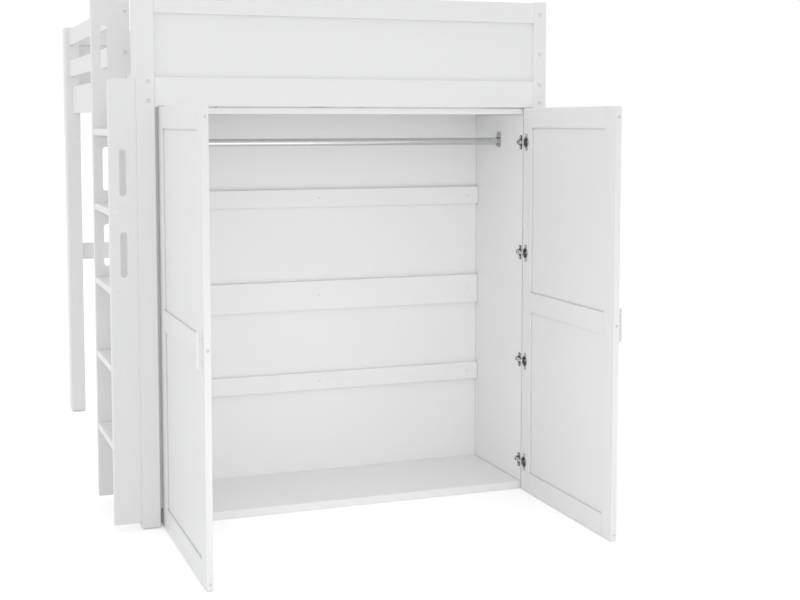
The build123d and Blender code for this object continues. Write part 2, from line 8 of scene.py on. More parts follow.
import bmesh
import bpy
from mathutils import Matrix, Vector


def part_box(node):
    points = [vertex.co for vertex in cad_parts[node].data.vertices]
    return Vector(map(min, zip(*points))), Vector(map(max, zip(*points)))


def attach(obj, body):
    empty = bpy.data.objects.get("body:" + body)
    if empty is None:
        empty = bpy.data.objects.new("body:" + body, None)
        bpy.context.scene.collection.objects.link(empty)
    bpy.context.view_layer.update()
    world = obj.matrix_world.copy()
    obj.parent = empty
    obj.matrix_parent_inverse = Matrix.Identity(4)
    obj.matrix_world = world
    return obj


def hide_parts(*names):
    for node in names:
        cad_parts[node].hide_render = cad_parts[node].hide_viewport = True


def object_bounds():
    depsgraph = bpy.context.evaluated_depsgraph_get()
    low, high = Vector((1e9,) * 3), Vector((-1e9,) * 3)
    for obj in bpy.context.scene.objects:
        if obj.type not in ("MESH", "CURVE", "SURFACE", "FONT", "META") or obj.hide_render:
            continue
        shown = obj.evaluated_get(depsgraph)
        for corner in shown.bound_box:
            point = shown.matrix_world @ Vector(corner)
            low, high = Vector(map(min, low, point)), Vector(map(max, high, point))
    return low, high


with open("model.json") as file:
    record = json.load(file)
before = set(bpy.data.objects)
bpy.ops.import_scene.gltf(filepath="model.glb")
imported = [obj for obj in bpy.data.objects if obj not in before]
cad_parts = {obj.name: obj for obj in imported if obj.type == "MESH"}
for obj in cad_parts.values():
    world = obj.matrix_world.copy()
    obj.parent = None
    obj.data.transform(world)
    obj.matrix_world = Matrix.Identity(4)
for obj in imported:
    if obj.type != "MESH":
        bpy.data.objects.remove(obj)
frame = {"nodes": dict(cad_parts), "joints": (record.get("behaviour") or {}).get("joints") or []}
cad_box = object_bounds()

logging.basicConfig(level=logging.INFO, format="%(message)s")
log = logging.getLogger("loft_bed")

Point = Colour = Corner = Noise = tuple[float, float, float]
Stops = Profile = Sequence[tuple[float, float]]

ACROSS = Vector((1.0, 0.0, 0.0))
ALONG = Vector((0.0, 1.0, 0.0))
UP = Vector((0.0, 0.0, 1.0))

WELD_DISTANCE = 1e-6
PARALLEL_ANGLE = 1e-6
PARALLEL_SLANT = 1e-12
SORTING_PLACES = 4
HEAD_SHARE = 0.97
SOFT_CORNER = ((1.0, 0.0), (0.3, 0.3), (0.0, 1.0))
SHARP_ANGLE = math.radians(32.0)
MIX_FACTOR, MIX_FIRST, MIX_SECOND, MIX_RESULT = 0, 6, 7, 2


class Grain(Enum):
    """The way a board's length runs, named after the frame's axes."""

    CROSSWISE = 0
    LENGTHWISE = 1
    UPRIGHT = 2


class Hand(Enum):
    """Which side of the wardrobe opening a piece belongs to."""

    RIGHT = 1
    LEFT = -1

    @property
    def word(self) -> str:
        """Return the side's name as the nodes spell it."""
        return self.name.lower()

    @property
    def inward(self) -> Vector:
        """Return the way from this side towards the middle of the opening."""
        return ACROSS * -self.value


class Socket:
    """A number that travels through a shader, written with ordinary operators."""

    def __init__(self, shader: "Shader", output: bpy.types.NodeSocket | None) -> None:
        """Keep the shader and the output that carries the number, which a tree's end hasn't got."""
        self.shader = shader
        self.output = output

    def _math(self, operation: str, first: object, second: object) -> "Socket":
        """Return the value of a new Math node, whose operands are numbers or Sockets."""
        return self.shader.node("ShaderNodeMath", {"operation": operation}, {0: first, 1: second})

    def __add__(self, other: object) -> "Socket":
        """Add."""
        return self._math("ADD", self, other)

    def __radd__(self, other: object) -> "Socket":
        """Add, reflected."""
        return self._math("ADD", other, self)

    def __sub__(self, other: object) -> "Socket":
        """Subtract."""
        return self._math("SUBTRACT", self, other)

    def __rsub__(self, other: object) -> "Socket":
        """Subtract, reflected."""
        return self._math("SUBTRACT", other, self)

    def __mul__(self, other: object) -> "Socket":
        """Multiply."""
        return self._math("MULTIPLY", self, other)

    def __rmul__(self, other: object) -> "Socket":
        """Multiply, reflected."""
        return self._math("MULTIPLY", other, self)


class Shader:
    """A node tree, built node by node."""

    def __init__(self, owner: bpy.types.Material | bpy.types.World) -> None:
        """Start with an empty tree.

        Args:
            owner: The material or the world that wears the tree.
        """
        owner.use_nodes = True
        self.owner = owner
        self.tree = owner.node_tree
        self.tree.nodes.clear()

    def node(
        self,
        kind: str,
        settings: dict[str, object] | None = None,
        inputs: dict[object, object] | None = None,
        output: object = 0,
    ) -> Socket:
        """Add one node.

        Args:
            kind: The node's type.
            settings: Properties of the node, set before its sockets.
            inputs: Values or links by socket name or number.
            output: The output to hand on.

        Returns:
            The chosen output.
        """
        made = self.tree.nodes.new(kind)
        for key, value in (settings or {}).items():
            if key == "stops":
                self._set_stops(made, value)
            else:
                setattr(made, key, value)
        for key, value in (inputs or {}).items():
            if isinstance(value, Socket):
                self.tree.links.new(value.output, made.inputs[key])
            else:
                made.inputs[key].default_value = value
        return Socket(self, made.outputs[output] if made.outputs else None)

    @staticmethod
    def _set_stops(ramp: bpy.types.Node, stops: Stops) -> None:
        """Give a colour ramp its grey stops.

        Args:
            ramp: The ramp node.
            stops: Pairs of place and grey value.
        """
        elements = ramp.color_ramp.elements
        while len(elements) < len(stops):
            elements.new(1.0)
        for element, (place, grey) in zip(elements, stops):
            element.position = place
            element.color = (grey, grey, grey, 1.0)

    def place(self, grain: Grain | None = None, squeeze: float = 1.0) -> Socket:
        """Return the surface's place in the frame, for a texture to look up.

        Args:
            grain: The way that the texture is drawn out, or none.
            squeeze: The factor along that way; a small one makes long streaks.

        Returns:
            A vector.
        """
        scale = [1.0, 1.0, 1.0]
        if grain is not None:
            scale[grain.value] = squeeze
        place = self.node("ShaderNodeTexCoord", output="Object")
        return self.node("ShaderNodeMapping", {}, {"Vector": place, "Scale": tuple(scale)})

    def noise(self, kind: Noise, vector: Socket) -> Socket:
        """Return noise from about 0 to 1; its kind is grains to the metre, finer layers and their weight."""
        values = dict(zip(("Scale", "Detail", "Roughness"), kind))
        return self.node("ShaderNodeTexNoise", {}, {"Vector": vector} | values)

    def ramp(self, value: Socket, stops: Stops) -> Socket:
        """Return a value sent through a grey ramp, whose stops pair a place with a result."""
        return self.node("ShaderNodeValToRGB", {"stops": stops}, {"Fac": value})

    def openness(self, reach: float, samples: int = 12) -> Socket:
        """Return one where a surface lies free, and less where others come within a reach of it."""
        return self.node("ShaderNodeAmbientOcclusion", {"samples": samples}, {"Distance": reach}, output="AO")

    def blend(self, factor: Socket, first: object, second: object) -> Socket:
        """Return a colour between two.

        Args:
            factor: 0 for the first, 1 for the second.
            first: A colour or a Socket.
            second: A colour or a Socket.

        Returns:
            The mixed colour.
        """
        colours = [c if isinstance(c, Socket) else (*c, 1.0) for c in (first, second)]
        values = {MIX_FACTOR: factor, MIX_FIRST: colours[0], MIX_SECOND: colours[1]}
        return self.node("ShaderNodeMix", {"data_type": "RGBA"}, values, output=MIX_RESULT)

    def bump(self, height: Socket, distance: float, strength: float) -> Socket:
        """Return a normal bent by a height from 0 to 1, with its depth and the share that shows."""
        return self.node("ShaderNodeBump", {}, {"Height": height, "Distance": distance, "Strength": strength})

    def seen_directly(self) -> Socket:
        """Tell the rays that come from the camera, a mirror or a clear piece from the others.

        Returns:
            One for these rays, and zero for the others.
        """
        names = ("Is Camera Ray", "Is Glossy Ray", "Is Transmission Ray")
        camera, glossy, clear = (self.node("ShaderNodeLightPath", output=name) for name in names)
        return camera + glossy + clear

    def surface(self, values: dict[str, object]) -> bpy.types.Material:
        """Finish the material with a Principled shader.

        Args:
            values: The shader's sockets.

        Returns:
            The material.
        """
        shader = self.node("ShaderNodeBsdfPrincipled", {}, values)
        self.node("ShaderNodeOutputMaterial", {}, {"Surface": shader})
        return self.owner


class Coat(Enum):
    """A coat of the paint: how white it is, whiter on the wardrobe's boards as painted light on their shaded
    faces, and the grey of the painted shade and dust in its corners and joints.
    """

    # OUTSIDE and DOOR are the paint's own white; INSIDE and WALL are whiter, painted light that brightens the
    # shaded wardrobe. The second number is the grey of the painted shade in corners and joints, deeper on
    # DOOR and WALL.
    OUTSIDE = (0.88, 0.86)
    DOOR = (0.88, 0.6)
    INSIDE = (0.93, 0.86)
    WALL = (0.93, 0.6)

    @property
    def white(self) -> float:
        """Return how white the coat is, with painted light added on the wardrobe's boards."""
        return self.value[0]

    @property
    def joint_grey(self) -> float:
        """Return the grey of the painted shade and dust in corners and joints."""
        return self.value[1]


@dataclass(frozen=True)
class WhitePaint:
    """Satin white paint on smooth planed boards, greyed in corners and joints by painted shade where other
    surfaces come close, with a little dust in the joints.

    The colours are shares of the coat's white.
    """

    grain: Grain
    coat: Coat
    colour: Colour = (1.0, 1.0, 1.002)
    shade: Colour = (0.984, 0.983, 0.981)
    scuff: Colour = (0.903, 0.892, 0.871)
    scuff_strength: float = 0.5
    roughness: float = 0.365
    specular: float = 0.4
    squeeze: float = 0.04
    grain_noise: Noise = (160.0, 4.0, 0.6)
    cloud_noise: Noise = (2.3, 3.0, 0.5)
    roller_noise: Noise = (900.0, 2.0, 0.5)
    mark_noise: Noise = (38.0, 6.0, 0.7)
    mark_edge: Stops = ((0.735, 0.0), (0.78, 1.0))
    patch_noise: Noise = (3.1, 2.0, 0.5)
    patch_edge: Stops = ((0.5, 0.0), (0.62, 1.0))
    cloud_tone: float = 0.7
    grain_tone: float = 0.3
    grain_dullness: float = 0.06
    roller_dullness: float = 0.05
    scuff_dullness: float = 0.15
    grain_relief: float = 0.45
    roller_relief: float = 0.35
    cloud_relief: float = 0.2
    scuff_relief: float = 0.3
    # Painted shade: how near another surface must come to grey a corner or joint, and the ramp from full
    # painted shade to none.
    dust_and_shade_reach: float = 0.009
    dust_and_shade_edge: Stops = ((0.35, 0.0), (0.92, 1.0))
    relief_depth: float = 0.00025
    relief_strength: float = 0.35

    def material(self) -> bpy.types.Material:
        """Mix the paint with its faint grain, roller texture and small scuffs.

        Returns:
            The material.
        """
        kind = f"{self.coat.name}_{self.grain.name}".lower()
        white = self.coat.white
        colour, shade, scuff = (
            tuple(channel * white for channel in share) for share in (self.colour, self.shade, self.scuff)
        )
        shader = Shader(bpy.data.materials.new("white_paint_" + kind))
        along, place = shader.place(self.grain, self.squeeze), shader.place()
        grain = shader.noise(self.grain_noise, along)
        cloud = shader.noise(self.cloud_noise, place)
        roller = shader.noise(self.roller_noise, place)
        marks = shader.ramp(shader.noise(self.mark_noise, place), self.mark_edge)
        scuffs = marks * shader.ramp(shader.noise(self.patch_noise, place), self.patch_edge)
        tone = shader.blend(cloud * self.cloud_tone + grain * self.grain_tone, colour, shade)
        worn = shader.blend(scuffs * self.scuff_strength, tone, scuff)
        # Painted shade: ambient occlusion greys the colour towards the coat's joint grey in corners, recesses
        # and joints; it also stands for a little dust in the joints.
        free = shader.ramp(shader.openness(self.dust_and_shade_reach), self.dust_and_shade_edge)
        dullness = grain * self.grain_dullness + roller * self.roller_dullness + scuffs * self.scuff_dullness
        raised = grain * self.grain_relief + roller * self.roller_relief + cloud * self.cloud_relief
        relief = raised - scuffs * self.scuff_relief
        values = {
            "Base Color": shader.blend(free, (self.coat.joint_grey,) * 3, worn),
            "Roughness": dullness + self.roughness,
            "Specular IOR Level": self.specular,
            "Normal": shader.bump(relief, self.relief_depth, self.relief_strength),
        }
        return shader.surface(values)


@dataclass(frozen=True)
class BarePine:
    """Pale planed pine with growth rings and knots."""

    grain: Grain
    pale: Colour = (0.81, 0.775, 0.715)
    dark: Colour = (0.74, 0.69, 0.61)
    knot: Colour = (0.52, 0.42, 0.31)
    roughness: float = 0.56
    squeeze: float = 0.07
    warp_noise: Noise = (6.0, 3.0, 0.5)
    ring_scale: float = 26.0
    ring_waviness: float = 6.0
    ring_detail: float = 2.0
    ring_detail_scale: float = 1.4
    fibre_noise: Noise = (420.0, 3.0, 0.6)
    knot_scale: float = 3.6
    knot_edge: Stops = ((0.03, 1.0), (0.07, 0.0))
    ring_tone: float = 0.55
    fibre_tone: float = 0.25
    warp_tone: float = 0.2
    fibre_dullness: float = 0.12
    ring_relief: float = 0.4
    fibre_relief: float = 0.6
    relief_depth: float = 0.0003
    relief_strength: float = 0.4

    def material(self) -> bpy.types.Material:
        """Mix the pine.

        Returns:
            The material.
        """
        shader = Shader(bpy.data.materials.new("bare_pine_" + self.grain.name.lower()))
        along = shader.place(self.grain, self.squeeze)
        warp = shader.noise(self.warp_noise, along)
        settings = {"wave_type": "RINGS", "rings_direction": "SPHERICAL"}
        values = {
            "Vector": along,
            "Scale": self.ring_scale,
            "Distortion": self.ring_waviness,
            "Detail": self.ring_detail,
            "Detail Scale": self.ring_detail_scale,
        }
        rings = shader.node("ShaderNodeTexWave", settings, values, output="Fac")
        fibre = shader.noise(self.fibre_noise, along)
        values = {"Vector": shader.place(), "Scale": self.knot_scale}
        knot = shader.ramp(shader.node("ShaderNodeTexVoronoi", {}, values, output="Distance"), self.knot_edge)
        darkness = rings * self.ring_tone + fibre * self.fibre_tone + warp * self.warp_tone
        tone = shader.blend(darkness, self.pale, self.dark)
        relief = rings * self.ring_relief + fibre * self.fibre_relief
        values = {
            "Base Color": shader.blend(knot, tone, self.knot),
            "Roughness": fibre * self.fibre_dullness + self.roughness,
            "Normal": shader.bump(relief, self.relief_depth, self.relief_strength),
        }
        return shader.surface(values)


@dataclass(frozen=True)
class PlatedMetal:
    """A bright or satin plating on steel."""

    name: str
    colour: Colour
    roughness: float
    brushing: float = 0.0
    dusk_share: float = 0.86
    squeeze: float = 0.08
    scratch_noise: Noise = (1400.0, 2.0, 0.5)
    dull_noise: Noise = (55.0, 4.0, 0.5)
    dull_tone: float = 0.6
    scratch_tone: float = 0.4
    patch_dullness: float = 0.08
    relief_depth: float = 0.00004
    relief_strength: float = 0.25

    def material(self) -> bpy.types.Material:
        """Mix the plated metal with fine scratches and dull patches.

        Returns:
            The material.
        """
        shader = Shader(bpy.data.materials.new(self.name))
        dull = shader.noise(self.dull_noise, shader.place())
        scratch = shader.noise(self.scratch_noise, shader.place(Grain.UPRIGHT, self.squeeze))
        dusk = tuple(channel * self.dusk_share for channel in self.colour)
        tarnish = dull * self.dull_tone + scratch * self.scratch_tone
        values = {
            "Base Color": shader.blend(tarnish, self.colour, dusk),
            "Metallic": 1.0,
            "Roughness": dull * self.patch_dullness + scratch * self.brushing + self.roughness,
            "Normal": shader.bump(scratch, self.relief_depth, self.relief_strength + self.brushing),
        }
        return shader.surface(values)


@dataclass(frozen=True)
class Lacquer:
    """Smooth white lacquer on the covers over the bolt heads."""

    colour: Colour = (0.87, 0.87, 0.87)
    dulled: Colour = (0.82, 0.82, 0.815)
    roughness: float = 0.3
    haze_noise: Noise = (260.0, 4.0, 0.5)
    haze_dullness: float = 0.15
    relief_depth: float = 0.00005
    relief_strength: float = 0.3

    def material(self) -> bpy.types.Material:
        """Mix the lacquer with faint handling marks.

        Returns:
            The material.
        """
        shader = Shader(bpy.data.materials.new("white_cover"))
        haze = shader.noise(self.haze_noise, shader.place())
        values = {
            "Base Color": shader.blend(haze, self.colour, self.dulled),
            "Roughness": haze * self.haze_dullness + self.roughness,
            "Normal": shader.bump(haze, self.relief_depth, self.relief_strength),
        }
        return shader.surface(values)


class Finishes:
    """Every finish on the bed, each made once."""

    def __init__(self) -> None:
        """Make the materials."""
        self.paint = {(grain, coat): WhitePaint(grain, coat).material() for grain in Grain for coat in Coat}
        self.pine = {grain: BarePine(grain).material() for grain in Grain}
        self.cover = Lacquer().material()
        self.nickel = PlatedMetal("hinge_steel", (0.42, 0.42, 0.425), 0.28, 0.1).material()
        self.bright_nickel = PlatedMetal("hinge_steel_bright", (0.72, 0.72, 0.72), 0.22, 0.06).material()
        # Painted shade: a near-black copy of the hinge plating, for the plates and fixing screws in the
        # shaded recess by the wall.
        self.nickel_painted_shade = PlatedMetal("hinge_steel_dark", (0.14, 0.14, 0.145), 0.36, 0.08).material()
        self.zinc = PlatedMetal("zinc_steel", (0.86, 0.86, 0.87), 0.42, 0.1).material()
        self.chrome = PlatedMetal("chrome", (0.63, 0.635, 0.645), 0.1).material()
        self.cast_chrome = PlatedMetal("chrome_cast", (0.49, 0.495, 0.505), 0.2).material()

    def coat(self, grain: Grain, names: Iterable[str], coat: Coat = Coat.OUTSIDE) -> None:
        """Paint the nodes of these names, whose boards run one way, with a coat."""
        for name in names:
            dress(frame["nodes"][name], self.paint[grain, coat])


def dress(piece: bpy.types.Object, material: bpy.types.Material) -> None:
    """Put one material in all of a piece's slots.

    Args:
        piece: The object.
        material: What it wears.
    """
    if not piece.data.materials:
        piece.data.materials.append(material)
    for index in range(len(piece.data.materials)):
        piece.data.materials[index] = material


@dataclass(frozen=True)
class Box:
    """The box of one solid of the frame."""

    low: Vector
    high: Vector

    @property
    def middle(self) -> Vector:
        """Return the middle of the box."""
        return (self.low + self.high) / 2

    @property
    def size(self) -> Vector:
        """Return the box's three sizes."""
        return self.high - self.low


def solids(node: str) -> list[Box]:
    """Return the box of each solid of a node.

    Args:
        node: A node of the frame.

    Returns:
        The boxes, from left to right, then front to back, then upwards.
    """
    shape = bmesh.new()
    shape.from_mesh(frame["nodes"][node].data)
    bmesh.ops.remove_doubles(shape, verts=shape.verts, dist=WELD_DISTANCE)
    waiting = set(shape.verts)
    boxes = []
    while waiting:
        found = [waiting.pop()]
        for vertex in found:
            for edge in vertex.link_edges:
                other = edge.other_vert(vertex)
                if other in waiting:
                    waiting.remove(other)
                    found.append(other)
        spans = [[vertex.co[axis] for vertex in found] for axis in range(3)]
        boxes.append(Box(Vector([min(span) for span in spans]), Vector([max(span) for span in spans])))
    shape.free()
    return sorted(boxes, key=lambda box: tuple(round(value, SORTING_PLACES) for value in box.low))


@dataclass(frozen=True)
class Seat:
    """A spot on a surface, from which a piece of hardware is measured."""

    middle: Vector
    across: Vector
    up: Vector
    out: Vector

    def spot(self, across: float, up: float, out: float) -> Vector:
        """Return the point that lies so far across, up and out of the surface."""
        return self.middle + self.across * across + self.up * up + self.out * out

    def ring(self, outline: Iterable[Vector], out: float) -> list[Vector]:
        """Return a flat outline's points at one height over the surface."""
        return [self.spot(point.x, point.y, out) for point in outline]

    def moved(self, across: float, up: float, out: float = 0.0) -> "Seat":
        """Return the same seat at another spot."""
        return Seat(self.spot(across, up, out), self.across, self.up, self.out)


def head_seats(node: str, axis: int | None = None, rear: float = math.inf) -> list[tuple[Seat, float]]:
    """Return the seat on the head of each fastener of a node.

    Args:
        node: The node that holds the fasteners.
        axis: The axis that they lie along, or none for that of each head's thickness.
        rear: Heads beyond this place along the bed face the far end.

    Returns:
        Each head's seat and the fastener's length.
    """
    opening_middle = (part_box("wardrobe_left_wall")[1].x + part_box("wardrobe_right_wall")[0].x) / 2
    seats = []
    for box in solids(node):
        way = list(box.size).index(min(box.size)) if axis is None else axis
        if way == 0:
            out = ACROSS if box.middle.x < opening_middle else -ACROSS
        else:
            out = ALONG if box.middle.y > rear else -ALONG
        middle = box.middle + out * box.size[way] / 2
        seats.append((Seat(middle, ALONG if way == 0 else ACROSS, UP, out), box.size[way]))
    return seats


def spokes(ways: Iterable[float]) -> list[Vector]:
    """Return the unit vectors at some angles."""
    return [Vector((math.cos(way), math.sin(way))) for way in ways]


def mirrored(lower: Sequence[Corner]) -> list[Corner]:
    """Return the corners of an outline whose upper half mirrors its lower half."""
    return [*lower, *((across, -up, radius) for across, up, radius in reversed(lower))]


def rounded(corners: Sequence[Corner], steps: int = 5) -> list[Vector]:
    """Return a closed outline whose corners are arcs.

    Args:
        corners: Place across, place up and radius of each corner, counter-clockwise.
        steps: Facets in each arc.

    Returns:
        The outline's points.
    """
    outline = []
    for index, (across, up, radius) in enumerate(corners):
        corner = Vector((across, up))
        back = (Vector(corners[index - 1][:2]) - corner).normalized()
        onward = (Vector(corners[(index + 1) % len(corners)][:2]) - corner).normalized()
        half_turn = back.angle(onward) / 2
        hub = corner + (back + onward).normalized() * (radius / math.sin(half_turn))
        start, end = (corner + way * (radius / math.tan(half_turn)) - hub for way in (back, onward))
        turns = (start.slerp(end, step / steps) for step in range(steps + 1))
        outline += [hub + turn.normalized() * radius for turn in turns]
    return outline


def inset(outline: Sequence[Vector], amount: float) -> list[Vector]:
    """Return a counter-clockwise outline moved inwards.

    Args:
        outline: The points.
        amount: How far its sides move.

    Returns:
        As many points, moved.
    """
    moved = []
    for index, point in enumerate(outline):
        came = (point - outline[index - 1]).normalized()
        goes = (outline[(index + 1) % len(outline)] - point).normalized()
        lean = (came + goes).normalized()
        inward = Vector((-lean.y, lean.x))
        moved.append(point + inward * (amount / max(0.5, lean.dot(came))))
    return moved


class Piece:
    """A mesh under construction, made of closed shells."""

    def __init__(self, name: str) -> None:
        """Start with no shells.

        Args:
            name: The piece's name.
        """
        self.name = name
        self.points: list[Vector] = []
        self.faces: list[list[int]] = []

    def shell(self, rings: Sequence[Sequence[Vector]]) -> None:
        """Add a closed shell.

        Args:
            rings: Rings of as many points each, joined in order and capped at both ends.
        """
        first = len(self.points)
        count = len(rings[0])
        for ring in rings:
            self.points.extend(ring)
        for low in range(first, first + (len(rings) - 1) * count, count):
            for step in range(count):
                onward = (step + 1) % count
                self.faces.append([low + step, low + onward, low + count + onward, low + count + step])
        last = len(self.points) - count
        self.faces.append(list(reversed(range(first, first + count))))
        self.faces.append(list(range(last, last + count)))

    def turned(self, seat: Seat, profile: Profile, sides: int = 32) -> None:
        """Add a turned shell, whose profile pairs a radius with a height over the surface."""
        ways = spokes(math.tau * step / sides for step in range(sides))
        self.shell([seat.ring([way * radius for way in ways], height) for radius, height in profile])

    def plate(self, seat: Seat, outline: Sequence[Vector], layers: Profile) -> None:
        """Add a shell that follows an outline, in layers of an inset and a height over the surface."""
        self.shell([seat.ring(inset(outline, amount), height) for amount, height in layers])

    def place(self, material: bpy.types.Material, slot: str, body: str, *nodes: str) -> None:
        """Put the finished piece in the scene.

        Args:
            material: What it wears.
            slot: The record's material slot; not used.
            body: The body that it rides on.
            nodes: The nodes that it stands for.
        """
        mesh = bpy.data.meshes.new(self.name)
        mesh.from_pydata(self.points, [], self.faces)
        shape = bmesh.new()
        shape.from_mesh(mesh)
        bmesh.ops.recalc_face_normals(shape, faces=shape.faces)
        shape.to_mesh(mesh)
        shape.free()
        mesh.shade_smooth()
        mesh.set_sharp_from_angle(angle=SHARP_ANGLE)
        mesh.materials.append(material)
        piece = bpy.data.objects.new(self.name, mesh)
        bpy.context.scene.collection.objects.link(piece)
        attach(piece, body)
        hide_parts(*nodes)
        log.info("%s: %d faces", self.name, len(self.faces))


@dataclass(frozen=True)
class ScrewHead:
    """A low domed screw head with a cross recess.

    The profiles pair a share of the radius, or of the cross, with a share of the head's thickness.
    """

    radius: float
    arm_share: float = 0.58
    arm_half_width_share: float = 0.17
    recess_share: float = 0.4
    dome: Profile = ((1.0, -1.0), (1.0, -0.5), (0.95, -0.2), (0.84, 0.0), (0.7, 0.06))
    recess: Profile = ((1.0, 0.08), (0.92, -0.2))
    recess_floor: float = 0.7

    def ways(self) -> list[float]:
        """Find the angles round the head at which the cross has its corners, and some between.

        Returns:
            The angles, in order.
        """
        tip = math.degrees(math.atan2(self.arm_half_width_share, self.arm_share))
        halfway = (tip + 45.0) / 2
        quarter = (-tip, 0.0, tip, halfway, 45.0, 90.0 - halfway)
        return [math.radians(turn + angle) for turn in (0.0, 90.0, 180.0, 270.0) for angle in quarter]

    def cross(self, way: float) -> float:
        """Return the share of the radius at which the cross ends.

        Args:
            way: The angle round the head.

        Returns:
            The share.
        """
        lean = abs((way + math.pi / 4) % (math.pi / 2) - math.pi / 4)
        along_tip = self.arm_share / math.cos(lean)
        if lean < PARALLEL_ANGLE:
            return along_tip
        return min(along_tip, self.arm_half_width_share / math.sin(lean))

    def add_to(self, piece: Piece, seat: Seat, thickness: float) -> None:
        """Add the head.

        Args:
            piece: What it becomes part of.
            seat: The middle of its outer face.
            thickness: How thick it is.
        """
        ways = self.ways()
        circle = [spoke * self.radius for spoke in spokes(ways)]
        cross = [spoke * self.cross(way) for spoke, way in zip(circle, ways)]
        recess = (*self.recess, (self.recess_floor, -self.recess_share))
        shell = []
        for outline, profile in ((circle, self.dome), (cross, recess)):
            for share, height in profile:
                shell.append(seat.ring([point * share for point in outline], height * thickness))
        piece.shell(shell)


def screws(node: str, body: str, material: bpy.types.Material, rear: float = math.inf) -> None:
    """Make the screw heads of a node.

    Args:
        node: The node that they stand for.
        body: The body that they ride on.
        material: What they wear.
        rear: Heads beyond this place along the bed face the far end.
    """
    piece = Piece(node + "_turned")
    for (seat, length), box in zip(head_seats(node, rear=rear), solids(node)):
        radius = sorted(box.size)[1] / 2 * HEAD_SHARE
        ScrewHead(radius).add_to(piece, seat, length)
    piece.place(material, "zinc_steel", body, node)


@dataclass
class Assembly:
    """A group of pieces that wears the finishes."""

    finishes: Finishes


@dataclass
class Bed(Assembly):
    """The posts, end guards, side rails and guard rails with their bolts.

    The dome's steps pair a share of its radius with a share of the ring's depth, or of the dome's height.
    """

    ends: tuple[str, ...] = ("front", "rear")
    sides: tuple[str, ...] = ("left", "right")
    cover_radius: float = 0.00635
    cover_height: float = 0.005
    cover_edge: float = 0.0006
    ring_edge: float = 0.00108
    ring_depth: float = 0.0016
    dome_share: float = 0.62
    dome_height: float = 0.0006
    dome_steps: Profile = ((1.0, -1.0), (0.97, -0.3), (0.7, 0.6), (0.3, 1.0))
    shank_radius: float = 0.0034
    rear_start: float = 0.2

    def build(self) -> None:
        """Paint the frame, finish the bare wood under the mattress and turn the bolts."""
        posts = [f"{end}_{side}_post" for end in self.ends for side in self.sides]
        guards = [f"{end}_{name}" for end in self.ends for name in ("top_rail", "guard_panel", "lower_rail")]
        names = ("side_rail", "low_guard_rail", "top_guard_rail")
        rails = [f"{side}_{name}" for side in self.sides for name in names]
        self.finishes.coat(Grain.UPRIGHT, posts)
        self.finishes.coat(Grain.CROSSWISE, guards + ["rear_stretcher"])
        self.finishes.coat(Grain.LENGTHWISE, rails)
        dress(frame["nodes"]["slats"], self.finishes.pine[Grain.CROSSWISE])
        for name in ("slat_cleats", "centre_beam"):
            dress(frame["nodes"][name], self.finishes.pine[Grain.LENGTHWISE])
        dress(frame["nodes"]["beam_hangers"], self.finishes.nickel)
        self.bolts()

    def bolts(self) -> None:
        """Turn the bolts with their covered heads."""
        radius, edge = self.cover_radius, self.cover_edge
        profile = [(self.shank_radius, -self.cover_height), (radius, -self.cover_height), (radius, -edge)]
        profile += [(radius - edge, 0.0), (radius - self.ring_edge, -self.ring_depth)]
        for share, height in self.dome_steps:
            rise = self.ring_depth if height < 0 else self.dome_height
            profile.append((radius * self.dome_share * share, rise * height))
        piece = Piece("bed_bolts_turned")
        middle = (cad_box[0][1] + cad_box[1][1]) / 2
        for seat, length in head_seats("bed_bolts", axis=1, rear=middle + self.rear_start):
            piece.turned(seat, [(self.shank_radius, -length)] + profile)
        piece.place(self.finishes.cover, "white_cover", "bed", "bed_bolts")


@dataclass
class Ladder(Assembly):
    """The ladder's two boards, its treads and their screws."""

    def build(self) -> None:
        """Paint the ladder and turn its screws."""
        self.finishes.coat(Grain.UPRIGHT, ["ladder_front_stile", "ladder_rear_board"])
        self.finishes.coat(Grain.LENGTHWISE, ["ladder_treads"])
        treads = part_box("ladder_treads")
        screws("ladder_screws", "bed", self.finishes.zinc, rear=(treads[0].y + treads[1].y) / 2)


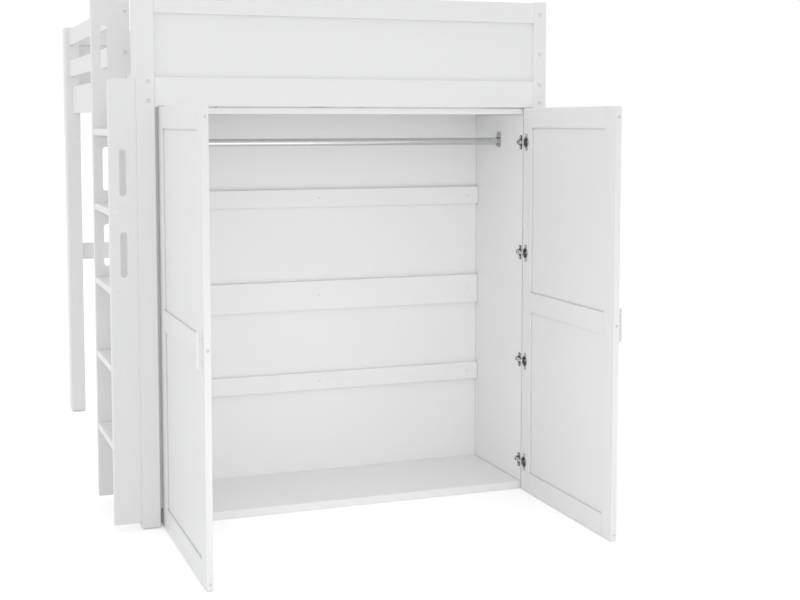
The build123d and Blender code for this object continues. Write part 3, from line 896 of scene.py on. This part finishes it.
@dataclass
class HangingRail(Assembly):
    """The bright rod and its two screwed sockets."""

    plate_thickness: float = 0.003
    plate_corner: float = 0.008
    plate_ease: float = 0.0008
    plate_round: tuple[float, float] = (0.4, 0.3)
    bore_gap: float = 0.0003
    ring_wall: float = 0.0025
    ring_ease: float = 0.0006
    ring_sink: float = 0.0002
    ring_sides: int = 48
    screw_radius: float = 0.0032
    screw_thickness: float = 0.001
    screw_stand: float = 0.0009
    screw_lift: float = 0.0255
    rod_sides: int = 64

    def build(self) -> None:
        """Make the rod and the sockets."""
        rod = solids("hanging_rod")[0]
        radius, end, edge = rod.size.z / 2, rod.size.x, self.ring_ease
        start = Seat(Vector((rod.low.x, rod.middle.y, rod.middle.z)), ALONG, UP, ACROSS)
        profile = [(radius - edge, 0.0), (radius, edge), (radius, end - edge), (radius - edge, end)]
        bar = Piece("hanging_rod_drawn")
        bar.turned(start, profile, self.rod_sides)
        bar.place(self.finishes.chrome, "chrome", "bed", "hanging_rod")
        sockets = Piece("rod_sockets_cast")
        for hand, box in zip((Hand.LEFT, Hand.RIGHT), solids("rod_sockets")):
            self.socket(sockets, hand, box, rod)
        sockets.place(self.finishes.cast_chrome, "chrome", "bed", "rod_sockets")

    def socket(self, piece: Piece, hand: Hand, box: Box, rod: Box) -> None:
        """Add one socket with its tall tab.

        Args:
            piece: What it becomes part of.
            hand: The side of the wardrobe.
            box: The box of the socket's solid.
            rod: The box of the rod.
        """
        wall_x = box.high.x if hand is Hand.RIGHT else box.low.x
        seat = Seat(Vector((wall_x, rod.middle.y, rod.middle.z)), ALONG, UP, hand.inward)
        half, low, high = box.size.y / 2, box.low.z - rod.middle.z, box.high.z - rod.middle.z
        corners = ((-half, low), (half, low), (half, high), (-half, high))
        outline = rounded([(*corner, self.plate_corner) for corner in corners])
        ease, face = self.plate_ease, self.plate_thickness
        inwards, downwards = self.plate_round
        layers = [(0.0, 0.0), (0.0, face - ease), (ease * inwards, face - ease * downwards), (ease, face)]
        piece.plate(seat, outline, layers)
        bore = rod.size.z / 2 + self.bore_gap
        rim = bore + self.ring_wall
        lip, reach = self.ring_ease, box.size.x
        ring = [(rim + lip, face - self.ring_sink), (rim, face + lip), (rim, reach - lip), (rim - lip, reach)]
        mouth = [(bore + lip, reach), (bore, reach - lip), (bore, face)]
        piece.turned(seat, ring + mouth, self.ring_sides)
        screw = seat.moved(0.0, self.screw_lift, face + self.screw_stand)
        ScrewHead(self.screw_radius).add_to(piece, screw, self.screw_thickness)


@dataclass
class Wardrobe(Assembly):
    """The carcass with its battens, spacers and screws."""

    walls: tuple[str, ...] = ("wardrobe_left_wall", "wardrobe_right_wall")
    upright: tuple[str, ...] = ("wardrobe_back", "wardrobe_spacers")
    crosswise: tuple[str, ...] = (
        "wardrobe_top",
        "wardrobe_base",
        "lower_back_batten",
        "middle_back_batten",
        "upper_back_batten",
    )

    def build(self) -> None:
        """Paint the carcass and turn its screws."""
        # The wardrobe's boards take the whiter coats, painted light for its shaded inside; its walls also
        # take the deeper painted shade in their corners.
        self.finishes.coat(Grain.UPRIGHT, self.walls, Coat.WALL)
        self.finishes.coat(Grain.UPRIGHT, self.upright, Coat.INSIDE)
        self.finishes.coat(Grain.CROSSWISE, self.crosswise, Coat.INSIDE)
        screws("wardrobe_screws", "bed", self.finishes.zinc)


@dataclass
class CupHinges(Assembly):
    """The cup hinges of both doors: cups with flanges, cranked arms and winged plates."""

    flange_radius: float = 0.0194
    flange_thickness: float = 0.0012
    flange_ease: float = 0.0004
    flange_sides: int = 96
    bar_half_height: float = 0.03
    bar_half_width: float = 0.0085
    bar_shift: float = -0.0025
    bar_corner: float = 0.0045
    bar_steps: int = 6
    cup_radius: float = 0.0174
    mouth_radius: float = 0.0165
    lip_steps: Profile = ((0.0003, 0.0002), (0.0, 0.0006))
    cup_depth: float = 0.0146
    floor_thickness: float = 0.0007
    floor_round: float = 0.003
    pin_radius: float = 0.001
    pin_depth: float = 0.012
    pin_sides: int = 20
    eye_radius: float = 0.002
    eye_sides: int = 24
    arm_half_height: float = 0.0042
    arm_low: float = 0.0048
    arm_high: float = 0.007
    arm_end: float = 0.0475
    arm_half_sheet: float = 0.0012
    arm_bend: float = 0.003
    arm_corner: float = 0.0006
    arm_ease: float = 0.0004
    block_start: float = 0.0185
    block_end: float = 0.0485
    block_half_height: float = 0.006
    block_high: float = 0.0072
    block_corner: float = 0.004
    block_nose: float = 0.0015
    block_ease: float = 0.0014
    block_step: float = 0.0004
    plate_start: float = 0.0175
    plate_end: float = 0.0505
    plate_half_height: float = 0.009
    plate_thickness: float = 0.002
    plate_corner: float = 0.0035
    plate_nose: float = 0.0008
    wing_start: float = 0.0195
    wing_end: float = 0.0355
    wing_half_height: float = 0.025
    wing_corner: float = 0.005
    wing_root: float = 0.002
    fixing_screw: tuple[float, float] = (0.0434, 0.0053)
    setting_screw: tuple[float, float] = (0.0255, 0.0024)
    screw_cross: tuple[float, float, float] = (0.66, 0.2, 0.75)
    screw_stand: float = 0.0007
    screw_thickness: float = 0.0016

    def build(self) -> None:
        """Make every hinge."""
        arms, plates = Piece("hinge_arms_pressed"), Piece("hinge_plates_pressed")
        fixings = Piece("hinge_screws_turned")
        for hand in Hand:
            joint = next(found for found in frame["joints"] if found["name"] == hand.word + "_door_hinge")
            pin = Vector(joint["pos_m"])
            wall_x = pin.x + hand.inward.x * self.pin_depth
            cups = Piece(hand.word + "_door_hinge_cups_drawn")
            node = hand.word + "_door_hinge_cups"
            for box in solids(node):
                if box.size.x < self.cup_depth:
                    self.add_pin(cups, box)
                    continue
                seat = Seat(Vector((wall_x, pin.y, box.middle.z)), ALONG, UP, hand.inward)
                self.add_cup(cups, seat.moved(box.middle.y - pin.y, 0.0))
                self.add_plate(plates, seat)
                self.add_arm(arms, seat, hand)
                for place, radius in (self.fixing_screw, self.setting_screw):
                    spot = seat.moved(place, 0.0, self.block_high + self.screw_stand)
                    ScrewHead(radius, *self.screw_cross).add_to(fixings, spot, self.screw_thickness)
            cups.place(self.finishes.nickel, "hinge_steel", hand.word + "_door", node)
        arms.place(self.finishes.bright_nickel, "hinge_steel", "bed", "hinge_arms")
        # The fixing screws and plates wear the painted-shade copy of the plating.
        fixings.place(self.finishes.nickel_painted_shade, "hinge_steel", "bed", "hinge_arms")
        plates.place(self.finishes.nickel_painted_shade, "hinge_steel", "bed", "hinge_plates")

    def add_pin(self, piece: Piece, box: Box) -> None:
        """Add the pin that an arm's eye turns on, as tall as its box."""
        seat = Seat(Vector((box.middle.x, box.middle.y, box.low.z)), ACROSS, ALONG, UP)
        piece.turned(seat, [(self.pin_radius, 0.0), (self.pin_radius, box.size.z)], self.pin_sides)

    def flange_outline(self) -> list[Vector]:
        """Join the flange's ring round the cup with its bar up and down.

        Returns:
            The outline, measured from the cup's middle.
        """
        front, back = self.bar_shift - self.bar_half_width, self.bar_shift + self.bar_half_width
        corner, tall = self.bar_corner, self.bar_half_height
        bar = rounded(mirrored([(front, -tall, corner), (back, -tall, corner)]), self.bar_steps)
        outline = []
        for ray in spokes(math.tau * step / self.flange_sides for step in range(self.flange_sides)):
            crossings = [self.crossing(ray, start, end) for start, end in zip(bar, bar[1:] + bar[:1])]
            outline.append(ray * max(self.flange_radius, *crossings))
        return outline

    @staticmethod
    def crossing(ray: Vector, start: Vector, end: Vector) -> float:
        """Return how far along a ray from the middle it meets a side of an outline.

        Args:
            ray: The way of the ray.
            start: The side's first point.
            end: Its last point.

        Returns:
            The distance, or zero where they don't meet.
        """
        side = end - start
        slant = ray.x * side.y - ray.y * side.x
        if abs(slant) < PARALLEL_SLANT:
            return 0.0
        distance = (start.x * side.y - start.y * side.x) / slant
        share = (start.x * ray.y - start.y * ray.x) / slant
        return distance if 0.0 <= share <= 1.0 and distance > 0.0 else 0.0

    def add_cup(self, piece: Piece, seat: Seat) -> None:
        """Add one cup with its flange.

        Args:
            piece: What it becomes part of.
            seat: The cup's middle on the door's inner face.
        """
        outline = self.flange_outline()
        ways = [point.normalized() for point in outline]
        thick, ease, depth, curve = self.flange_thickness, self.flange_ease, self.cup_depth, self.floor_round
        cup, mouth, bottom = self.cup_radius, self.mouth_radius, -self.cup_depth - self.floor_thickness
        body = [(cup - curve, bottom), (cup, bottom + curve), (cup, 0.0)]
        inside = [(cup, thick)] + [(mouth + wide, thick - deep) for wide, deep in self.lip_steps]
        inside += [(mouth - curve * wide, curve * deep - depth) for wide, deep in reversed(SOFT_CORNER)]

        def circles(profile: Profile) -> list[list[Vector]]:
            """Return round rings whose points match the outline's."""
            return [seat.ring([way * radius for way in ways], height) for radius, height in profile]

        layers = [(0.0, 0.0), (0.0, thick - ease), (ease, thick)]
        flange = [seat.ring(inset(outline, amount), height) for amount, height in layers]
        piece.shell(circles(body) + flange + circles(inside))

    def add_plate(self, piece: Piece, seat: Seat) -> None:
        """Add one winged plate on the wall.

        Args:
            piece: What it becomes part of.
            seat: The pin's height and depth on the wall's face.
        """
        half, nose = self.plate_half_height, self.plate_nose
        wing, corner = self.wing_half_height, self.wing_corner
        lower = [(self.plate_start, -half, nose), (self.wing_start, -half, nose)]
        lower += [(self.wing_start, -wing, corner), (self.wing_end, -wing, corner)]
        lower += [(self.wing_end, -half, self.wing_root), (self.plate_end, -half, self.plate_corner)]
        thick, ease = self.plate_thickness, self.flange_ease
        piece.plate(seat, rounded(mirrored(lower)), [(0.0, 0.0), (0.0, thick - ease), (ease, thick)])

    def add_arm(self, piece: Piece, seat: Seat, hand: Hand) -> None:
        """Add one cranked arm, from its block on the plate to its eye in the cup.

        Args:
            piece: What it becomes part of.
            seat: The pin's height and depth on the wall's face.
            hand: The side of the wardrobe.
        """
        plan = Seat(seat.middle, ALONG, hand.inward, UP)
        sheet, pin, low, high = self.arm_half_sheet, -self.pin_depth, self.arm_low, self.arm_high
        corner, end = self.arm_corner, self.arm_end
        bent = [(-sheet, pin, corner), (sheet, pin, corner), (sheet, low, sheet)]
        bent += [(end, low, corner), (end, high, corner), (-sheet, high, self.arm_bend)]
        half, ease = self.arm_half_height, self.arm_ease
        layers = [(ease, -half), (0.0, ease - half), (0.0, half - ease), (ease, half)]
        piece.plate(plan, rounded(bent), layers)
        eye = [(self.eye_radius - amount, height) for amount, height in layers]
        piece.turned(plan.moved(0.0, pin), eye, self.eye_sides)
        tall, top, ease, step = self.block_half_height, self.block_high, self.block_ease, self.block_step
        lower = [(self.block_start, -tall, self.block_nose), (self.block_end, -tall, self.block_corner)]
        layers = [(0.0, self.plate_thickness), (0.0, top - ease), (step, top - step), (ease, top)]
        piece.plate(seat, rounded(mirrored(lower)), layers)


@dataclass
class Door(Assembly):
    """One framed door with its handle and screws."""

    hand: Hand
    upright: tuple[str, ...] = ("hinge_stile", "free_stile", "upper_panel", "lower_panel")
    rails: tuple[str, ...] = ("top_rail", "middle_rail", "bottom_rail")
    bar_thickness: float = 0.007
    bar_corner: float = 0.0045
    bar_ease: float = 0.0022
    foot_inset: float = 0.017
    foot_radius: float = 0.0043
    foot_flare: float = 0.0016
    flare_share: float = 0.3
    foot_edge: float = 0.0006
    foot_sides: int = 28

    @property
    def body(self) -> str:
        """Return the name of the body that the door rides on."""
        return self.hand.word + "_door"

    def build(self) -> None:
        """Paint the door and make its handle and screws."""
        # The doors' coat greys the recesses round their panels with deeper painted shade.
        for grain, names in ((Grain.UPRIGHT, self.upright), (Grain.LENGTHWISE, self.rails)):
            self.finishes.coat(grain, [f"{self.body}_{name}" for name in names], Coat.DOOR)
        self.handle()
        screws(self.body + "_screws", self.body, self.finishes.zinc)

    def handle(self) -> None:
        """Make the upright bar on its two feet."""
        box = solids(self.body + "_handle")[0]
        face_x = box.low.x if self.hand is Hand.RIGHT else box.high.x
        seat = Seat(Vector((face_x, box.middle.y, box.middle.z)), ALONG, UP, -self.hand.inward)
        half, tall, corner, ease = box.size.y / 2, box.size.z / 2, self.bar_corner, self.bar_ease
        top, low = box.size.x, box.size.x - self.bar_thickness
        layers = [(ease * inwards, low + ease * upwards) for inwards, upwards in SOFT_CORNER]
        layers += [(ease * inwards, top - ease * downwards) for inwards, downwards in reversed(SOFT_CORNER)]
        piece = Piece(self.body + "_handle_turned")
        piece.plate(seat, rounded(mirrored([(-half, -tall, corner), (half, -tall, corner)])), layers)
        foot, flare = self.foot_radius, self.foot_flare
        profile = [(foot + flare, 0.0), (foot + flare, self.foot_edge)]
        profile += [(foot + flare * self.flare_share, flare), (foot, flare * 2), (foot, low + ease)]
        for side in (-1, 1):
            piece.turned(seat.moved(0.0, side * (tall - self.foot_inset)), profile, self.foot_sides)
        paint = self.finishes.paint[Grain.UPRIGHT, Coat.OUTSIDE]
        piece.place(paint, "white_paint", self.body, self.body + "_handle")


@dataclass(frozen=True)
class Lamp:
    """A soft round lamp that no camera sees: where it hangs, what it faces, its width and its watts."""

    name: str
    place: Point
    aim: Point
    size: float
    power: float

    def hang(self) -> None:
        """Hang the lamp."""
        data = bpy.data.lights.new(self.name, "AREA")
        data.shape = "DISK"
        data.size = self.size
        data.energy = self.power
        lamp = bpy.data.objects.new(self.name, data)
        lamp.location = self.place
        lamp.rotation_mode = "QUATERNION"
        lamp.rotation_quaternion = (Vector(self.aim) - Vector(self.place)).to_track_quat("-Z", "Y")
        lamp.visible_camera = False
        bpy.context.scene.collection.objects.link(lamp)


@dataclass
class Studio:
    """The floor, the lamps and the camera."""

    floor_half: float = 120.0
    floor_colour: Colour = (0.88, 0.88, 0.88)
    floor_shade: Colour = (0.865, 0.865, 0.865)
    floor_noise: Noise = (1.2, 2.0, 0.5)
    floor_roughness: float = 0.9
    floor_glow: float = 0.34
    camera_place: Point = (-1.3942, -4.9951, 1.340)
    camera_yaw: float = 20.44
    camera_pitch: float = 4.528
    lens: float = 60.12
    sensor: float = 36.0
    shift: tuple[float, float] = (0.0006, -0.0915)
    sky: float = 0.866
    sky_colour: Colour = (0.985, 0.99, 1.0)
    lamps: tuple[Lamp, ...] = (
        Lamp("left_lamp", (-6.0, -1.8, 2.2), (0.0, 0.0, 0.9), 3.0, 21.1),
        Lamp("front_lamp", (-1.4, -5.2, 2.2), (0.0, 0.0, 0.8), 3.0, 9.5),
        Lamp("low_lamp", (0.0, -1.9, 0.35), (0.0, 0.3, 0.75), 1.2, 2.45),
        Lamp("inner_lamp", (0.0, -1.3, 0.5), (0.0, 0.4, 0.6), 1.0, 0.55),
        Lamp("right_lamp", (6.0, 1.2, 2.4), (0.0, 0.6, 0.9), 3.0, 21.1),
        Lamp("rear_lamp", (0.6, 7.2, 2.4), (0.0, 0.6, 0.9), 3.0, 21.1),
    )

    def floor(self) -> None:
        """Lay the floor."""
        mesh = bpy.data.meshes.new("studio_floor")
        shape = bmesh.new()
        bmesh.ops.create_grid(shape, x_segments=8, y_segments=8, size=self.floor_half)
        shape.to_mesh(mesh)
        shape.free()
        floor = bpy.data.objects.new("studio_floor", mesh)
        bpy.context.scene.collection.objects.link(floor)
        shader = Shader(bpy.data.materials.new("studio_floor"))
        soft = shader.noise(self.floor_noise, shader.place())
        values = {
            "Base Color": shader.blend(soft, self.floor_colour, self.floor_shade),
            "Roughness": self.floor_roughness,
            "Emission Color": shader.blend(shader.seen_directly(), (0.0, 0.0, 0.0), (self.floor_glow,) * 3),
            "Emission Strength": 1.0,
        }
        mesh.materials.append(shader.surface(values))

    def sky_light(self) -> None:
        """Set the even light from all round and the white behind the bed."""
        world = bpy.data.worlds.new("studio_sky")
        shader = Shader(world)
        values = {"Color": (*self.sky_colour, 1.0), "Strength": self.sky}
        light = shader.node("ShaderNodeBackground", {}, values)
        white = shader.node("ShaderNodeBackground", {}, {"Color": (1.0, 1.0, 1.0, 1.0)})
        mixed = shader.node("ShaderNodeMixShader", {}, {0: shader.seen_directly(), 1: light, 2: white})
        shader.node("ShaderNodeOutputWorld", {}, {"Surface": mixed})
        bpy.context.scene.world = world

    def camera(self) -> None:
        """Set the camera at the viewing angle."""
        data = bpy.data.cameras.new("viewpoint")
        data.sensor_width = self.sensor
        data.lens = self.lens
        data.shift_x, data.shift_y = self.shift
        camera = bpy.data.objects.new("viewpoint", data)
        camera.location = self.camera_place
        yaw, pitch = math.radians(self.camera_yaw), math.radians(self.camera_pitch)
        aim = Vector((math.sin(yaw) * math.cos(pitch), math.cos(yaw) * math.cos(pitch), -math.sin(pitch)))
        camera.rotation_mode = "QUATERNION"
        camera.rotation_quaternion = aim.to_track_quat("-Z", "Y")
        bpy.context.scene.collection.objects.link(camera)
        bpy.context.scene.camera = camera

    def build(self) -> None:
        """Set up the whole studio."""
        self.floor()
        self.sky_light()
        for lamp in self.lamps:
            lamp.hang()
        self.camera()
        bpy.context.scene.view_settings.view_transform = "Standard"


def main() -> None:
    """Dress the loft bed and set it in the studio."""
    finishes = Finishes()
    for assembly in (Bed, Ladder, Wardrobe, HangingRail, CupHinges):
        assembly(finishes).build()
        log.info("%s done", assembly.__name__)
    for hand in Hand:
        Door(finishes, hand).build()
        log.info("%s door done", hand.word)
    Studio().build()
    log.info("studio set")


if __name__ == "__main__":
    main()
